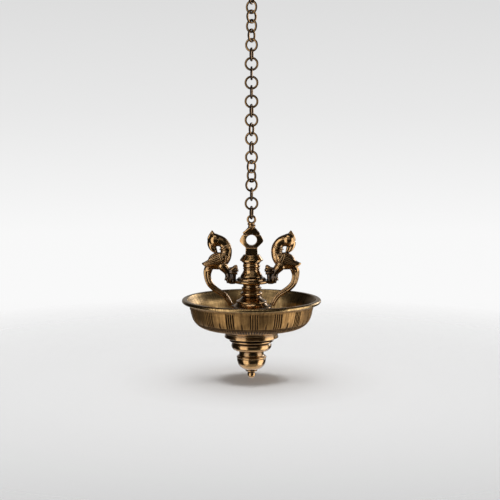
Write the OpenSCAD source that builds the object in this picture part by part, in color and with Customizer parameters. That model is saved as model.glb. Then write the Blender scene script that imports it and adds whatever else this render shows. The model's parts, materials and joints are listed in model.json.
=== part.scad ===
// Hanging chain oil lamp: a cast brass bowl on a turned stem with two parrots,
// hung by a ring chain from a hanging eye. Millimetres, +Z up, origin in the
// middle of the hole of the hanging eye. The parrots stand in the XZ plane.

/* [Chain] */
// Number of rings in the chain
link_count = 24; // [6:1:36]
// Outer diameter of one ring
link_outer = 12.6; // [11:0.1:16]
// Diameter of the ring's wire
link_wire = 2; // [1.4:0.1:2.4]
// Play between two rings that cross
link_gap = 0.25; // [0.15:0.05:0.5]

/* [Eye castings] */
// Diameter of the large hole
eye_hole = 9.6; // [7:0.1:11]
// Width across the lobes beside the large hole
eye_lobes = 21.4; // [19:0.1:25]
// Radius of a lobe
lobe_r = 2.6; // [1.5:0.1:4]
// How far the lobes lie below the middle of the large hole
lobe_drop = 0.6; // [0:0.1:2]
// Thickness of the casting, front to back
eye_depth = 6; // [4.5:0.1:8]
// Diameter of the small eye's hole
small_eye_hole = 4.4; // [3.6:0.1:6]
// Thickness of the small eye's ring
small_eye_wire = 2.2; // [1.6:0.1:2.6]
// Height of the roof's eaves over the middle of the large hole
eave_height = 6.5; // [5.5:0.1:8]
// Width across the eaves
roof_width = 15; // [12:0.1:17]
// Height of the roof, from its eaves to its flat top
roof_height = 4.5; // [2:0.1:6]
// Length of the neck, from the roof to the small eye
eye_neck_length = 4.3; // [3.5:0.1:8]
// Width of the neck over the roof
eye_neck = 7.2; // [5:0.1:9]
// Width of the neck under the small eye
eye_neck_top = 5.3; // [4:0.1:5.6]
// Width of the casting under its lobes
eye_waist = 11.2; // [9.4:0.1:13]
// Depth of the casting below the middle of the large hole
eye_base = 8.6; // [7.5:0.1:10]
// Diameter of the round foot under the large hole
eye_foot = 9.2; // [8.4:0.1:12]
// Length of the foot below the middle of the large hole
eye_foot_drop = 13.4; // [12:0.1:17]

/* [Stem] */
// Height of the cap under the suspension eye
cap_height = 8.6; // [7:0.1:14]
// Diameter of the cap's top
cap_top = 15.6; // [12:0.1:18]
// Diameter of the sharp ridge round the cap
cap_ridge = 21; // [19:0.1:26]
// Diameter of the waist between cap and baluster
waist = 15; // [13:0.1:17]
// Height of the baluster
baluster_height = 12.2; // [9:0.1:18]
// Diameter of the baluster's flared foot
baluster_foot = 20.4; // [18:0.1:24]
// Height of the flange that carries the parrots
flange_height = 7.4; // [6.5:0.1:10]
// Diameter of the flange
flange_d = 32.4; // [28:0.1:38]
// Diameter of the neck under the flange
lower_neck = 18.4; // [15:0.1:20]
// Height of the neck and its bead under the flange
lower_neck_height = 10.4; // [8:0.1:14]
// Diameter of the bead on that neck
lower_bead = 19.8; // [19:0.1:26]
// Height of the bell foot, from the neck to the floor of the bowl
bell_height = 27.6; // [24:0.1:34]
// Diameter of the bell foot's upper round
bell_upper = 28; // [24:0.1:32]
// Diameter of the bell foot's lower round
bell_lower = 37.2; // [34:0.1:46]
// Diameter of the bell foot where it stands on the bowl
bell_base = 43; // [38:0.1:47]

/* [Bowl] */
// Diameter over the lip
bowl_d = 127; // [110:0.5:150]
// Thickness of the rolled lip
lip = 3.6; // [2.6:0.1:5]
// Width of the lip, seen from above
lip_width = 4.8; // [4:0.1:6]
// How far the lip stands out over the wall
lip_overhang = 7.6; // [5:0.1:10]
// Drop from the top of the lip to the top of the engraved wall
lip_drop = 9.8; // [8:0.1:13]
// Height from the lower edge of the wall to the top of the lip
bowl_height = 25.8; // [22:0.1:36]
// Diameter of the lower edge of the wall
bowl_crease = 89; // [76:0.5:98]
// Thickness of the metal
bowl_wall = 2.6; // [2:0.1:3.2]
// Drop of the underside from the wall's lower edge to the collar
bowl_dish = 2.6; // [1:0.1:5]

/* [Base] */
// Diameter of the collar's flare under the bowl
collar_flare = 58; // [54:0.1:70]
// Diameter of the collar
collar_d = 49.4; // [44:0.1:52]
// Diameter of the collar's lower edge
collar_foot = 40.6; // [38:0.1:43]
// Height of the collar
collar_height = 11.2; // [10:0.1:16]
// Diameter of the drum
drum_d = 37; // [31:0.1:40]
// Height of the drum
drum_height = 8.8; // [6:0.1:12]
// Diameter of the cup
cup_d = 27.4; // [22:0.1:30]
// Height of the cup with its neck
cup_height = 17.4; // [14:0.1:22]
// Diameter of the neck over the cup
cup_neck = 22.4; // [19:0.1:24]
// Diameter of the finial's ball
finial_ball = 7.5; // [6.6:0.1:10]
// Diameter of the finial's collar
finial_collar = 11; // [9:0.1:14]
// Height of the finial's collar
finial_collar_height = 1.4; // [1:0.1:2.5]

/* [Parrots] */
// Height of a parrot, from its pin to the tip of its crest
parrot_height = 46.7; // [40:0.1:52]
// Diameter of the pin that holds a parrot's foot to the flange
pin_d = 1.6; // [1.2:0.1:2.4]
// Depth of the pin in the flange
pin_depth = 4.5; // [3:0.1:6]
// Length of the pin in the parrot's foot
pin_reach = 3; // [2:0.1:4]

/* [Fits] */
// Diameter of the tie rod through the stem, the bowl and the base
rod_d = 5; // [4:0.1:6]
// Play all round the rod and the pins
fit_gap = 0.1; // [0.05:0.05:0.25]
// Play between a parrot and the stem
parrot_gap = 0.1; // [0.05:0.05:0.3]
// Depth of the rod in the eye's foot and in the finial
rod_grip = 3.4; // [2.5:0.1:4]
// Diameter of the rod's thin lower end in the finial
stud_d = 3; // [2.4:0.1:3.4]
// Thickness of the sealing washer on the floor of the bowl
washer = 1; // [0.6:0.1:2]
// Outer diameter of the sealing washer
washer_d = 20; // [14:0.1:26]

/* [Hidden] */
$fn = 96;
brass = "#8a6a3a";
dark_brass = "#5c4526";
inner_brass = "#a88a50";
leather = "#4a3524";

// Chain
link_r = (link_outer - link_wire) / 2;
link_pitch = 2 * link_r - link_wire - link_gap;
small_eye_r = (small_eye_hole + small_eye_wire) / 2;
roof_top = eave_height + roof_height;
eye_rise = roof_top + eye_neck_length + small_eye_r;
eye_to_link = small_eye_r + link_r - (small_eye_wire + link_wire) / 2 - link_gap;
first_link_z = -eye_rise - eye_to_link;
lamp_z = first_link_z - (link_count - 1) * link_pitch - eye_to_link;
// How each ring is turned about the hanging line, as the chain lies twisted
link_turns = [
    70, -38, 45, -40, 60, -25, 80, 0, 88, 0, 85, 0,
    80, -10, 72, -20, 76, -21, 50, -50, 27, 85, 0, 80
];

// Levels down the lamp, each the top of a piece
eye_z = lamp_z - eye_rise;
cap_z = eye_z - eye_foot_drop;
baluster_z = cap_z - cap_height;
flange_z = baluster_z - baluster_height;
foot_z = flange_z - flange_height;
floor_z = foot_z - lower_neck_height - bell_height;
seat_z = floor_z - bowl_wall;
rim_z = seat_z + bowl_height + bowl_dish;
collar_z = seat_z;
drum_z = collar_z - collar_height;
cup_z = drum_z - drum_height;
finial_z = cup_z - cup_height;
pin_z = flange_z - flange_height / 2;

// Levels of the two rounds on the bell foot, from the top of the neck
upper_round = bell_height * 0.11;
upper_round_z = -lower_neck_height - bell_height * 0.1;
lower_round = bell_height * 0.15;
lower_round_z = upper_round_z - upper_round * 1.5;

// Radius of the hollow between the flange and the neck under it
hollow_r = lower_neck / 2 - lower_neck_height * 0.14;

rod_bore = rod_d / 2 + fit_gap;
pin_bore = pin_d / 2 + fit_gap;
// How far a cut runs past the face that it opens
overshoot = 1;

// Helpers

function link_name(i) = str("link_", i < 10 ? "0" : "", i);

// Points on an arc about a centre, from one angle to another
function arc(centre, r, from, to, steps = 8) =
    [for (i = [0:steps]) let (a = from + (to - from) * i / steps) centre + r * [cos(a), sin(a)]];

// Points of a half round moulding of a given radius, from its top to its bottom
function bead(r, top, bottom) =
    arc([r - (top - bottom) / 2, (top + bottom) / 2], (top - bottom) / 2, 90, -90);

// Points on a cubic curve with four control points
function curve(a, b, c, d, steps = 10) =
    [for (i = [0:steps]) let (t = i / steps, s = 1 - t)
        s * s * s * a + 3 * s * s * t * b + 3 * s * t * t * c + t * t * t * d];

// A hollow moulding between two points, and a swelling one
function cove(a, b) = bend(a, b, [min(a.x, b.x), a.x < b.x ? b.y : a.y]);
function swell(a, b) = bend(a, b, [max(a.x, b.x), a.x < b.x ? a.y : b.y]);
// A nearly straight moulding between two points, a little hollow
function slope(a, b) = bend(a, b, (a + b) / 2 + [a.x - b.x, b.y - a.y] / 10);
function bend(a, b, corner) = curve(a, (a + 2 * corner) / 3, (b + 2 * corner) / 3, b);

// A turned piece, from an outline of [radius, height] points
module turned(z, outline) {
    translate([0, 0, z]) rotate_extrude() polygon(outline);
}

// Chain and eyes

module ring(mean_r, wire) {
    rotate([90, 0, 0]) rotate_extrude() translate([mean_r, 0]) circle(d = wire, $fn = 32);
}

module chain_link(i) {
    color(brass)
    translate([0, 0, first_link_z - (i - 1) * link_pitch])
    rotate([0, 0, link_turns[(i - 1) % len(link_turns)]])
    ring(link_r, link_wire);
}

// Half the outline of a cast eye, from the roof over its hole to its base
function eye_side() = concat(
    [[eye_neck / 2, roof_top], [roof_width / 2, eave_height]],
    arc([eye_lobes / 2 - lobe_r, -lobe_drop], lobe_r, 30, -40),
    [[eye_waist / 2, -(eye_hole / 2 + eye_base) / 2], [eye_waist / 4, -eye_base]]
);

function mirrored(points) = [for (i = [len(points) - 1:-1:0]) [-points[i].x, points[i].y]];

// A cast eye: a lobed plate round a clear hole, a neck over it, and a small eye on top
module eye_casting() {
    sunk = eye_depth / 5;
    difference() {
        union() {
            rotate([90, 0, 0]) linear_extrude(eye_depth, center = true)
                polygon(concat(eye_side(), mirrored(eye_side())));
            translate([0, 0, roof_top - sunk])
                cylinder(d1 = eye_neck, d2 = eye_neck_top, h = eye_neck_length + sunk);
            translate([0, 0, eye_rise]) ring(small_eye_r, small_eye_wire);
        }
        rotate([90, 0, 0]) cylinder(d = eye_hole, h = eye_depth + 2 * overshoot, center = true);
    }
}

module hanging_eye() {
    color(brass) rotate([0, 180, 0]) eye_casting();
}

// The lamp's own eye stands on a round foot that thins out into the plate under the hole
module suspension_eye() {
    bore_depth = rod_grip + fit_gap;
    straight = bore_depth + eye_depth / 10;
    taper_top = (eye_hole / 2 + eye_base) / 2;
    taper = eye_foot_drop - taper_top - straight;
    color(brass) translate([0, 0, eye_z]) difference() {
        union() {
            eye_casting();
            translate([0, 0, -eye_foot_drop]) cylinder(d = eye_foot, h = straight);
            translate([0, 0, straight - eye_foot_drop])
                cylinder(d1 = eye_foot, d2 = eye_depth, h = taper);
        }
        translate([0, 0, -eye_foot_drop - overshoot]) cylinder(r = rod_bore, h = bore_depth + overshoot);
    }
}

// Stem, all pieces bored for the tie rod

module stem_cap() {
    ridge_z = -cap_height * 0.58;
    edge = cap_height * 0.05;
    band = cap_height * 0.12;
    band_r = (cap_ridge + waist) / 4;
    band_z = ridge_z - edge * 2;
    color(brass) turned(cap_z, concat(
        [[rod_bore, 0]],
        arc([cap_top / 2 - edge * 2, -edge * 2], edge * 2, 90, 20),
        [[cap_ridge / 2, ridge_z + edge], [cap_ridge / 2, ridge_z - edge]],
        bead(band_r, band_z, band_z - band),
        cove([band_r - band / 2, band_z - band], [waist / 2, -cap_height]),
        [[rod_bore, -cap_height]]
    ));
}

// The baluster: a swollen band, a fine ring, a bell and a bead at its foot
module stem_baluster() {
    h = baluster_height;
    r = waist / 2;
    foot_r = baluster_foot / 2;
    groove = h * 0.025;
    swelling = h * 0.05;
    band_end = -h * 0.24;
    ring_top = -h * 0.3;
    ring_bottom = -h * 0.38;
    bell_top = ring_bottom - groove * 2;
    flare_z = -h * 0.86;
    bell = bell_top - flare_z;
    color(brass) turned(baluster_z, concat(
        [[rod_bore, 0]],
        curve([r, 0], [r + swelling, band_end / 3], [r + swelling, band_end * 2 / 3], [r, band_end]),
        [[r - groove, band_end - groove]],
        bead(r + groove, ring_top, ring_bottom),
        curve([r - groove, bell_top], [r + groove, flare_z + bell / 2],
            [foot_r - (foot_r - r) / 3, flare_z + bell / 4], [foot_r - groove, flare_z]),
        bead(foot_r, flare_z, -h),
        [[rod_bore, -h]]
    ));
}

// Outline of the flange, a round shoulder over a thin edge, grown all round by a margin
function flange_edge(margin) =
    let (
        edge = flange_height * 0.19,
        mid = -flange_height / 2,
        top_r = baluster_foot / 2 + margin,
        shoulder_r = (baluster_foot + flange_d) / 4 + margin,
        edge_r = flange_d / 2 - edge
    )
    concat(
        [[top_r, margin]],
        swell([top_r + edge / 4, margin], [shoulder_r, mid + edge + margin]),
        arc([edge_r, mid], edge + margin, 90, -90),
        cove([edge_r - edge / 4, mid - edge - margin], [hollow_r + margin, -flange_height - margin])
    );

module pin_holes(r, length) {
    for (side = [-1, 1])
        translate([side * (flange_d / 2 - pin_depth), 0, pin_z])
        rotate([0, side * 90, 0]) cylinder(r = r, h = length, $fn = 32);
}

module stem_flange() {
    color(brass) difference() {
        turned(flange_z, concat([[rod_bore, 0]], flange_edge(0), [[rod_bore, -flange_height]]));
        pin_holes(pin_bore, pin_depth + overshoot);
    }
}

// Outline of the neck and the bell foot from top to bottom, grown all round by a margin
function foot_edge(margin) =
    let (
        h = lower_neck_height,
        hollow = hollow_r + margin,
        neck = lower_neck / 2 + margin,
        groove = h * 0.06,
        groove_z = -h * 0.16,
        line_z = groove_z - h * 0.13,
        bead_r = lower_bead / 2 + margin,
        bead_top = -h * 0.56 + margin,
        bead_bottom = -h * 0.92,
        shoulder_z = bead_bottom - groove / 2,
        upper_r = bell_upper / 2 + margin,
        upper_top = upper_round_z - upper_round * 0.25 + margin,
        upper_bottom = upper_round_z - upper_round * 0.85,
        upper_nose = (upper_top - upper_bottom) / 2,
        lower_r = bell_lower / 2 + margin,
        lower_top = lower_round_z - lower_round * 0.25 + margin,
        lower_bottom = lower_round_z - lower_round * 0.85,
        lower_nose = (lower_top - lower_bottom) / 2,
        base_r = bell_base / 2 + margin,
        bottom = -h - bell_height,
        base_top = bottom + bell_height * 0.07
    )
    concat(
        [[hollow, 0]],
        cove([hollow, -groove], [neck - groove, groove_z]),
        bead(neck, groove_z, line_z),
        cove([neck - groove, line_z], [bead_r - groove * 3, bead_top]),
        bead(bead_r, bead_top, bead_bottom),
        slope([neck - groove * 2, shoulder_z + margin], [upper_r - upper_nose, upper_top]),
        bead(upper_r, upper_top, upper_bottom),
        slope([upper_r - upper_nose / 2, upper_bottom], [lower_r - lower_nose, lower_top]),
        bead(lower_r, lower_top, lower_bottom),
        cove([lower_r - lower_nose, lower_bottom], [base_r - (base_top - bottom) / 2, base_top]),
        bead(base_r, base_top, bottom)
    );

module stem_foot() {
    bottom = -lower_neck_height - bell_height;
    washer_r = washer_d / 2 + fit_gap;
    color(dark_brass) turned(foot_z, concat(
        [[rod_bore, 0]],
        foot_edge(0),
        [[washer_r, bottom], [washer_r, bottom + washer], [rod_bore, bottom + washer]]
    ));
}

module sealing_washer() {
    color(leather) translate([0, 0, floor_z]) difference() {
        cylinder(d = washer_d, h = washer);
        translate([0, 0, -overshoot]) cylinder(r = rod_bore, h = washer + 2 * overshoot);
    }
}

module tie_rod() {
    color(dark_brass) {
        translate([0, 0, finial_z]) cylinder(d = rod_d, h = cap_z + rod_grip - finial_z);
        translate([0, 0, finial_z - rod_grip]) cylinder(d = stud_d, h = rod_grip + overshoot);
    }
}

// Bowl

module bowl() {
    rim_r = bowl_d / 2;
    wall_r = rim_r - lip_overhang;
    crease_r = bowl_crease / 2;
    bottom = -bowl_height - bowl_dish;
    seat_r = collar_flare / 2;
    nose = lip / 2;
    inner_r = wall_r - bowl_wall;
    belly = (bowl_height - lip_drop) / 2;
    color(inner_brass) turned(rim_z, concat(
        [[rod_bore, bottom], [seat_r, bottom]],
        curve([crease_r, -bowl_height], [crease_r + belly, -bowl_height + bowl_wall],
            [wall_r - belly / 6, -lip_drop - belly], [wall_r, -lip_drop]),
        cove([wall_r + nose / 4, -lip_drop + nose / 2], [rim_r - nose, -lip]),
        arc([rim_r - nose, -nose], nose, -80, 80),
        arc([rim_r - lip_width + nose / 2, -nose / 2], nose / 2, 90, 150),
        curve([rim_r - lip_width - nose / 4, -nose], [inner_r + nose, -lip_drop * 0.6],
            [inner_r, -lip_drop * 0.8], [inner_r - belly / 12, -lip_drop - belly / 2]),
        curve([inner_r - belly / 8, -lip_drop - belly * 0.7],
            [inner_r - belly / 4, -bowl_height + bowl_wall * 2],
            [crease_r, -bowl_height + bowl_wall],
            [crease_r - bowl_wall, -bowl_height + bowl_wall * 0.9]),
        [[seat_r, bottom + bowl_wall], [rod_bore, bottom + bowl_wall]]
    ));
}

// Base under the bowl

// The collar: a flare, a fine ridge, a cone that widens downward, a deep groove and a ring
module base_collar() {
    h = collar_height;
    top_r = collar_flare / 2;
    r = collar_d / 2;
    foot_r = collar_foot / 2;
    ridge = h * 0.08;
    ridge_z = -h * 0.2;
    cone_z = ridge_z - ridge;
    groove_z = -h * 0.6;
    groove_r = foot_r - h * 0.28;
    ring_z = -h * 0.82;
    ring_end = -h * 0.96;
    color(brass) turned(collar_z, concat(
        [[rod_bore, 0], [top_r, 0]],
        slope([top_r, -ridge / 2], [r + ridge / 2, ridge_z]),
        bead(r + ridge / 2, ridge_z, cone_z),
        [[r - ridge, cone_z]],
        swell([r, groove_z], [r - ridge, groove_z - ridge / 2]),
        cove([r - ridge * 1.5, groove_z - ridge / 2], [groove_r, ring_z]),
        bead(foot_r, ring_z, ring_end),
        [[groove_r, ring_end], [groove_r, -h], [rod_bore, -h]]
    ));
}

// The drum: full at its top, and round underneath
module base_drum() {
    h = drum_height;
    r = drum_d / 2;
    soft = h * 0.2;
    color(brass) turned(drum_z, concat(
        [[rod_bore, 0]],
        curve([r - soft, 0], [r + soft / 2, -h * 0.28],
            [r + soft * 0.7, -h * 0.85], [(cup_neck + soft) / 2, -h]),
        [[rod_bore, -h]]
    ));
}

// The cup: a neck that flares out to a ring, and a round bottom
module base_cup() {
    neck_z = -cup_height * 0.24;
    ring_h = cup_height * 0.1;
    ring_z = neck_z - cup_height * 0.02;
    cup_top = ring_z - ring_h;
    r = cup_d / 2;
    color(brass) turned(cup_z, concat(
        [[rod_bore, 0], [cup_neck / 2, 0]],
        cove([cup_neck / 2, neck_z / 4], [r - ring_h / 2, neck_z]),
        bead(r, ring_z, cup_top),
        [[r - ring_h / 2, cup_top], [r - ring_h / 3, cup_top - ring_h / 4]],
        curve([r - ring_h / 4, cup_top - ring_h / 2], [r - ring_h / 4, -cup_height * 0.72],
            [r * 0.72, -cup_height * 0.92], [finial_collar / 2, -cup_height]),
        [[rod_bore, -cup_height]]
    ));
}

module finial() {
    ball_r = finial_ball / 2;
    join = 50;
    ball_z = -finial_collar_height - ball_r * sin(join);
    stud_bore = stud_d / 2 + fit_gap;
    color(brass) turned(finial_z, concat(
        [[stud_bore, 0]],
        bead(finial_collar / 2, 0, -finial_collar_height),
        arc([0, ball_z], ball_r, join, -90, 20),
        [[0, -rod_grip - fit_gap], [stud_bore, -rod_grip - fit_gap]]
    ));
}

// Parrots. Stations are [outward, up, half height, half thickness], measured from the
// flange's edge and from its middle, for a parrot of the drawn height.

drawn_height = 46.7;
parrot_scale = parrot_height / drawn_height;
head_at = [17.2, 37.8];
head_r = 6;
wing_side = 4.8;
leg_side = 2.7;
neck_stations = [
    [11.4, 14.5, 4.2, 4.4], [8, 21, 5.2, 4.8], [6.8, 26.5, 5.2, 4.4],
    [7.2, 31.5, 4.9, 4.3], [10.8, 36.2, 4.9, 4.6], [17.2, 37.8, 6, 5.4]
];
beak_stations = [
    [18, 38.2, 5.4, 4.6], [20.3, 34.8, 4, 3.6], [20, 30.8, 2.6, 2.4],
    [18.2, 28, 1.7, 1.6], [16.4, 26.2, 0.7, 0.7]
];
crest_stations = [[17.8, 40.4, 3, 2.8], [18.9, 43.4, 1.9, 1.8], [19.6, 46.6, 0.4, 0.4]];
body_stations = [
    [5.4, 20.6, 2, 2.2], [8, 20, 5.4, 5.2], [12.1, 19.2, 7.7, 6.2],
    [17.2, 17.8, 7.6, 6.2], [22.2, 15.8, 4.9, 4.6], [26.4, 15.9, 2.2, 2.6], [29, 16.4, 0.5, 0.6]
];
wing_stations = [
    [7.2, 24.6, 1.2, 0.8], [10.6, 22, 4.8, 1.6], [15.8, 19.4, 5, 1.7],
    [21.8, 17.2, 3.4, 1.5], [27.4, 16.4, 0.8, 0.8]
];
// The tail comes down from the body to the lower round of the bell foot
tail_end = [(bell_lower - flange_d) / 2, foot_z + lower_round_z - pin_z];
tail_stations = concat(
    [[20.2, 16, 3.6, 3.4], [23.4, 10.4, 4, 3.2], [23.9, 4.4, 3.3, 2.9]] * parrot_scale,
    [[21.8, -2.2, 3, 2.7], [16.4, -7.6, 2.8, 2.5]] * parrot_scale,
    [for (s = [[5.6, 8.2, 2.4, 2.3], [0, -1, 2.2, 2.1]]) s * parrot_scale + [tail_end.x, tail_end.y, 0, 0]]
);
// A thigh that runs down into the lower claw, a raised claw, and its grip on the flange
thigh_stations = [
    [13, 17.4, 2.4, 2.4], [10.8, 15, 4.4, 3.8], [7.4, 11.2, 3.8, 3.4], [5.2, 8, 3.2, 3],
    [4.5, 5, 3.4, 3.2], [4, 2, 3.6, 3.4], [3.6, -1, 2, 2]
];
claw_stations = [
    [6.4, 8.6, 2.2, 2.2], [4, 9, 3.1, 2.8], [1, 9.8, 3.2, 2.9], [-1.8, 10.6, 2.8, 2.6], [-3.8, 11, 1, 1]
];
grip_stations = [[0.2, 10, 2, 2], [0.4, 7.4, 2.8, 2.6], [0.4, 4, 2.6, 2.4], [0.2, 0, 2.2, 2.2]];
// The root that takes the pin between the two legs
root_stations = [[6, 3, 1.8, 2.4], [4, 1.8, 3.6, 4], [1.6, 0.6, 3.4, 3.6], [-1.5, 0.4, 2.8, 3]];

// A smooth run of stations through the given ones
function smooth(stations, steps) =
    let (last = len(stations) - 1)
    concat(
        [for (i = [0:last - 1], k = [0:steps - 1])
            let (
                t = k / steps,
                a = stations[max(i - 1, 0)],
                b = stations[i],
                c = stations[i + 1],
                d = stations[min(i + 2, last)]
            )
            b + t / 2 * (c - a + t * (2 * a - 5 * b + 4 * c - d + t * (3 * b - a - 3 * c + d)))],
        [stations[last]]
    );

// A closed body swept through oval sections that stand square to their line
module swept(stations, steps, sides) {
    run = smooth(stations, steps);
    last = len(run) - 1;
    points = [for (i = [0:last])
        let (
            ahead = run[min(i + 1, last)],
            back = run[max(i - 1, 0)],
            way = [ahead.x - back.x, ahead.y - back.y],
            square = [-way.y, way.x] / norm(way)
        )
        for (k = [0:sides - 1])
            let (a = 360 * k / sides, lift = run[i][2] * cos(a))
            [run[i].x + square.x * lift, run[i][3] * sin(a), run[i].y + square.y * lift]];
    walls = [for (i = [0:last - 1], k = [0:sides - 1])
        let (p = i * sides + k, q = i * sides + (k + 1) % sides)
        each [[p, q, p + sides], [q, q + sides, p + sides]]];
    ends = [for (k = [1:sides - 2])
        each [[0, k + 1, k], [last * sides, last * sides + k, last * sides + k + 1]]];
    polyhedron(points, concat(walls, ends));
}

// The parrot on the right, cut to sit against the stem
module parrot() {
    difference() {
        translate([flange_d / 2, 0, 0]) {
            swept(neck_stations * parrot_scale, 4, 16);
            swept(beak_stations * parrot_scale, 3, 12);
            swept(crest_stations * parrot_scale, 3, 10);
            swept(body_stations * parrot_scale, 3, 16);
            swept(tail_stations, 4, 12);
            swept(root_stations * parrot_scale, 2, 12);
            for (side = [-1, 1] * parrot_scale) {
                translate([0, side * wing_side, 0]) swept(wing_stations * parrot_scale, 3, 10);
                translate([0, side * leg_side, 0]) {
                    swept(thigh_stations * parrot_scale, 2, 12);
                    swept(claw_stations * parrot_scale, 2, 12);
                    swept(grip_stations * parrot_scale, 2, 12);
                }
            }
            translate([head_at.x, 0, head_at.y] * parrot_scale) sphere(head_r * parrot_scale, $fn = 24);
        }
        rotate_extrude() polygon(concat(
            [[0, parrot_gap]],
            [for (p = flange_edge(parrot_gap)) p + [0, flange_z - pin_z]],
            [for (p = foot_edge(parrot_gap)) p + [0, foot_z - pin_z]],
            [[0, floor_z - pin_z]]
        ));
        rotate([0, 90, 0]) cylinder(r = pin_bore, h = flange_d / 2 + pin_reach + fit_gap, $fn = 32);
    }
}

module parrot_right() {
    color(brass) translate([0, 0, pin_z]) parrot();
}

module parrot_left() {
    color(brass) translate([0, 0, pin_z]) mirror([1, 0, 0]) parrot();
}

module parrot_pins() {
    color(dark_brass) pin_holes(pin_d / 2, pin_depth + pin_reach);
}

hanging_eye();
for (i = [1:link_count]) chain_link(i);
suspension_eye();
stem_cap();
stem_baluster();
stem_flange();
stem_foot();
tie_rod();
sealing_washer();
bowl();
parrot_left();
parrot_right();
parrot_pins();
base_collar();
base_drum();
base_cup();
finial();
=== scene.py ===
"""Looks of the hanging chain oil lamp: its carved pieces, finishes, light and camera.

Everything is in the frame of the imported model, in metres. Sizes below are in millimetres and are
brought to metres where a mesh is made.
"""

import json
import math

import bpy
import mathutils
import numpy as np
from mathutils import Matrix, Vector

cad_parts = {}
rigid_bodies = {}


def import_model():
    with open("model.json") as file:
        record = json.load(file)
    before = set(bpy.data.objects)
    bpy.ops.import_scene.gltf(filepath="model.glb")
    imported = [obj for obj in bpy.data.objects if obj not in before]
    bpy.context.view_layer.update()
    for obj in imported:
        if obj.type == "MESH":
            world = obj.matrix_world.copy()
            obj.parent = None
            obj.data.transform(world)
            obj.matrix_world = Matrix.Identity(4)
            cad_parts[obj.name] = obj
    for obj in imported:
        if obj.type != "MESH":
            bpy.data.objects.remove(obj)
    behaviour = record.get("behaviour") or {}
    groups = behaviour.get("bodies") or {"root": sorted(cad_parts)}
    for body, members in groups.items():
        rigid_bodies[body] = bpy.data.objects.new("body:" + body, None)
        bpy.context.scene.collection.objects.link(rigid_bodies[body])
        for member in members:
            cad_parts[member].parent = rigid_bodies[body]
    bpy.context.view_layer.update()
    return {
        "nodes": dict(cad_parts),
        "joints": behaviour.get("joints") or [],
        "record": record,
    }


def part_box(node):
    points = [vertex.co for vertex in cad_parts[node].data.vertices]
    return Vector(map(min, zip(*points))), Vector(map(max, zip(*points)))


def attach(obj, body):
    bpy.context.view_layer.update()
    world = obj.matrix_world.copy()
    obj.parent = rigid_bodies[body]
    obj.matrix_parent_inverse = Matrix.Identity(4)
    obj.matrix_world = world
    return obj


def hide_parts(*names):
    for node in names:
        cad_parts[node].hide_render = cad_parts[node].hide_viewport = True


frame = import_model()

MM = 0.001
LAMP = "lamp"

# Levels and radii read from the frame, in millimetres
RIM_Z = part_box("bowl")[1].z / MM
BOWL_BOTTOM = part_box("bowl")[0].z / MM
RIM_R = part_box("bowl")[1].x / MM
SEAT_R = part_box("base_collar")[1].x / MM
FLANGE_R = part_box("stem_flange")[1].y / MM
PIN_Z = (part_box("parrot_pins")[0].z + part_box("parrot_pins")[1].z) / 2 / MM
EYE_Z = [m["pos_m"][2] / MM for m in frame["record"]["mounts"] if m["name"] == "lamp_hole"][0]
# The floor lies this far under the finial
FLOOR_GAP = 1.5
FLOOR_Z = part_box("finial")[0].z / MM - FLOOR_GAP


# Mesh helpers


def join_parts(parts):
    """One list of points and one of faces from several (points, faces) pairs."""
    points, faces, start = [], [], 0
    for part_points, part_faces in parts:
        points.append(np.asarray(part_points, float))
        faces.extend([i + start for i in face] for face in part_faces)
        start += len(part_points)
    return np.concatenate(points), faces


def new_object(name, points, faces):
    """A smooth mesh object from points in millimetres."""
    mesh = bpy.data.meshes.new(name)
    mesh.from_pydata((np.asarray(points) * MM).tolist(), [], faces)
    mesh.shade_smooth()
    obj = bpy.data.objects.new(name, mesh)
    bpy.context.scene.collection.objects.link(obj)
    return obj


def finish_piece(obj, material, body, slot, *nodes):
    """Gives a piece its material, puts it on the body it rides on and hides the nodes it stands for."""
    obj.data.materials.clear()
    obj.data.materials.append(material)
    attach(obj, body)
    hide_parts(*nodes)


def smooth_line(points, steps):
    """Points on a smooth line through the given ones."""
    points = np.asarray(points, float)
    last = len(points) - 1
    run = []
    for i in range(last):
        a, b = points[max(i - 1, 0)], points[i]
        c, d = points[i + 1], points[min(i + 2, last)]
        for t in np.arange(steps) / steps:
            bend = 2 * a - 5 * b + 4 * c - d + t * (3 * b - a - 3 * c + d)
            run.append(b + t / 2 * (c - a + t * bend))
    run.append(points[last])
    return np.array(run)


def grid_faces(rows, columns, closed_rows=False):
    """Quads of a grid whose columns close round, and whose rows may."""
    faces = []
    for i in range(rows if closed_rows else rows - 1):
        low, high = i * columns, (i + 1) % rows * columns
        for k in range(columns):
            n = (k + 1) % columns
            faces.append([low + k, low + n, high + n, high + k])
    return faces


# The least radius of a tube, which keeps its end from closing to a point
LEAST_R = 0.02


def tube(line, radii, sides=12, steps=6):
    """A closed round tube through points, with a radius or a (wide, flat) pair at each."""
    radii = np.array([r if np.ndim(r) else (r, r) for r in radii], float)
    run = smooth_line(np.hstack([np.asarray(line, float), radii]), steps)
    centre, size = run[:, :3], np.maximum(run[:, 3:], LEAST_R)
    way = np.gradient(centre, axis=0)
    way /= np.linalg.norm(way, axis=1)[:, None]
    side = np.cross(way, [0.0, 1.0, 0.0])
    side /= np.maximum(np.linalg.norm(side, axis=1), 1e-6)[:, None]
    other = np.cross(side, way)
    a = 2 * np.pi * np.arange(sides) / sides
    ring = (
        centre[:, None]
        + side[:, None] * (size[:, :1] * np.cos(a))[..., None]
        + other[:, None] * (size[:, 1:] * np.sin(a))[..., None]
    )
    rows = len(run)
    points = np.concatenate([ring.reshape(-1, 3), centre[:1], centre[-1:]])
    faces = grid_faces(rows, sides)
    first, final = rows * sides, rows * sides + 1
    for k in range(sides):
        n = (k + 1) % sides
        faces.append([first, n, k])
        faces.append([final, (rows - 1) * sides + k, (rows - 1) * sides + n])
    return points, faces


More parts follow.
